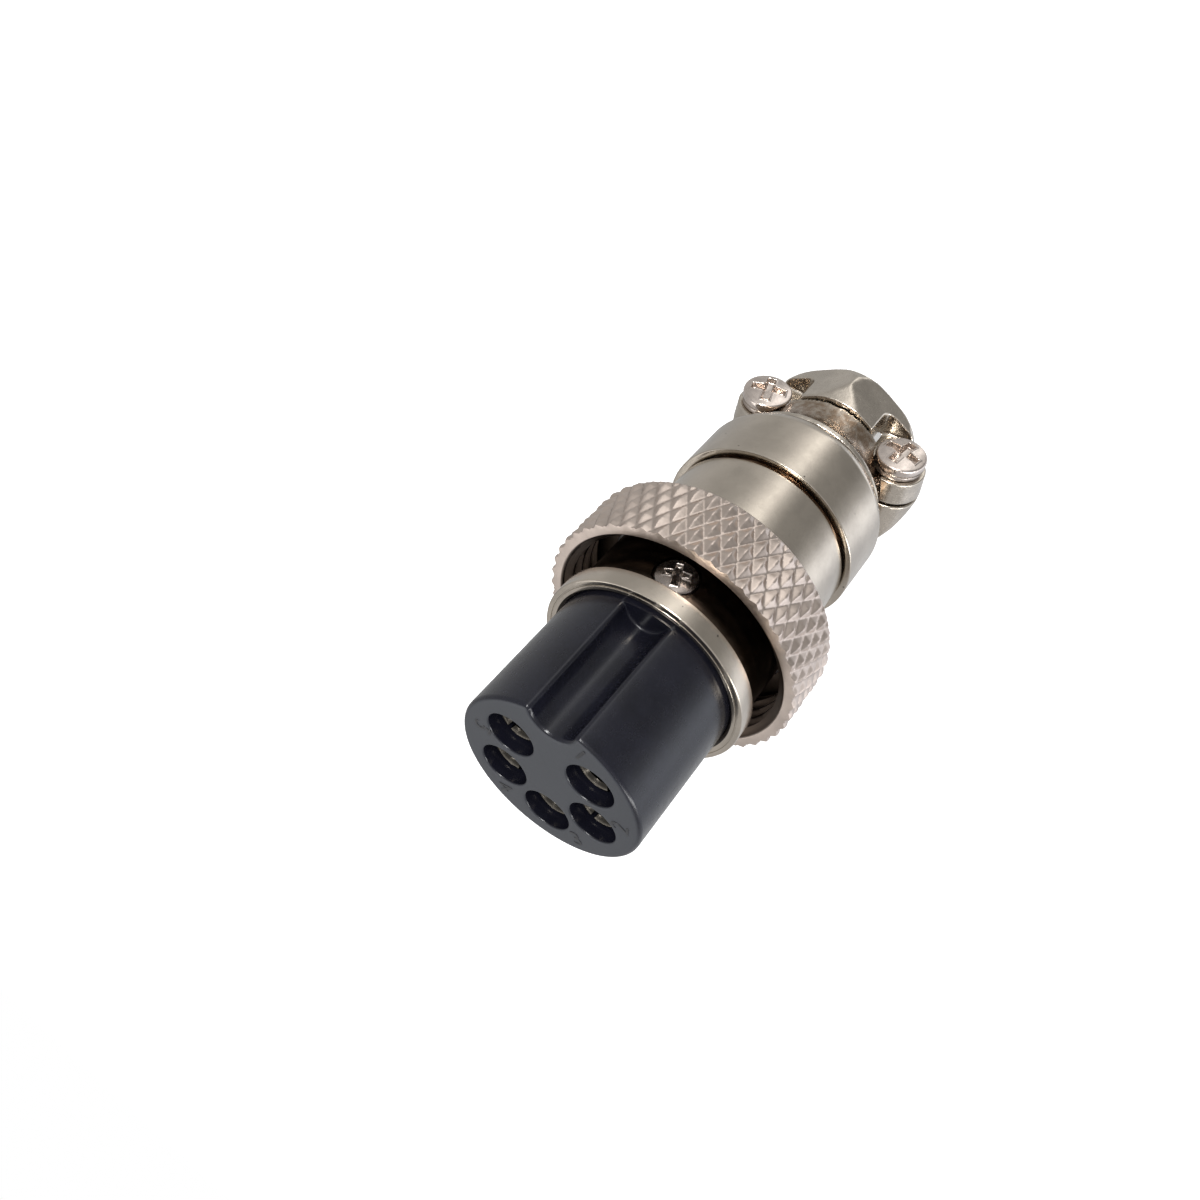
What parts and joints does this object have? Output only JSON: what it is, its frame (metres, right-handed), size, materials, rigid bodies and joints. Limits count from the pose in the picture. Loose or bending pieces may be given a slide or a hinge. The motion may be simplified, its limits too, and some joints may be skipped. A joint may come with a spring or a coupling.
{
  "type": "aviation plug connector",
  "caption": "Round threaded cable plug with a keyed socket insert, knurled coupling ring, barrel, rear collar and two-piece screw clamp for the cable.",
  "frame": {"origin": "centre of the tail face, where the cable enters", "axes": "+Z along the plug's axis to the mating face, +X to the keyway, the insert screw and the loose clamp half"},
  "size_m": [0.019, 0.019, 0.0395],
  "materials": {
    "insert_plastic": "semi-gloss moulded",
    "contact_plate": "bright plated",
    "shell_plate": "satin, turned, nickel plated",
    "ring_plate": "matte pearl plated, knurled",
    "collar_plate": "satin, turned, nickel plated",
    "clamp_plate": "cast, nickel plated",
    "screw_plate": "bright nickel plated"
  },
  "bodies": {
    "clamp": {"clamp_body": "clamp_plate"},
    "collar": {"rear_collar": "collar_plate"},
    "plug": {"plug_shell": "shell_plate", "socket_insert": "insert_plastic", "contact_1": "contact_plate", "contact_2": "contact_plate", "contact_3": "contact_plate", "contact_4": "contact_plate", "contact_5": "contact_plate", "insert_screw": "screw_plate"},
    "ring": {"coupling_ring": "ring_plate"},
    "saddle": {"clamp_saddle": "clamp_plate", "lock_washer_left": "screw_plate", "lock_washer_right": "screw_plate"},
    "screw_left": {"clamp_screw_left": "screw_plate"},
    "screw_right": {"clamp_screw_right": "screw_plate"}
  },
  "joints": [
    {"name": "plug_travel", "type": "slide", "parent": "clamp", "child": "plug", "axis": [0, 0, 1], "range_m": [-0.0003, 0.003]},
    {"name": "collar_turn", "type": "hinge", "parent": "clamp", "child": "collar", "pos_m": [0, 0, 0.0117], "axis": [0, 0, -1], "range_deg": [-144, 1440]},
    {"name": "ring_spin", "type": "hinge", "parent": "plug", "child": "ring", "pos_m": [0, 0, 0.0217], "axis": [0, 0, 1], "continuous": true},
    {"name": "saddle_lift", "type": "slide", "parent": "clamp", "child": "saddle", "axis": [1, 0, 0], "range_m": [-0.00025, 0.0016]},
    {"name": "screw_left_turn", "type": "hinge", "parent": "saddle", "child": "screw_left", "pos_m": [0.0029, 0.00561, 0.00393], "axis": [1, 0, 0], "range_deg": [-225, 1440]},
    {"name": "screw_right_turn", "type": "hinge", "parent": "saddle", "child": "screw_right", "pos_m": [0.0029, -0.00561, 0.00393], "axis": [1, 0, 0], "range_deg": [-225, 1440]}
  ],
  "couplings": [
    {"joint": "collar_turn", "follows": "plug_travel", "rad_per_m": 8377.6},
    {"joint": "screw_left_turn", "follows": "saddle_lift", "rad_per_m": 15708},
    {"joint": "screw_right_turn", "follows": "saddle_lift", "rad_per_m": 15708}
  ]
}
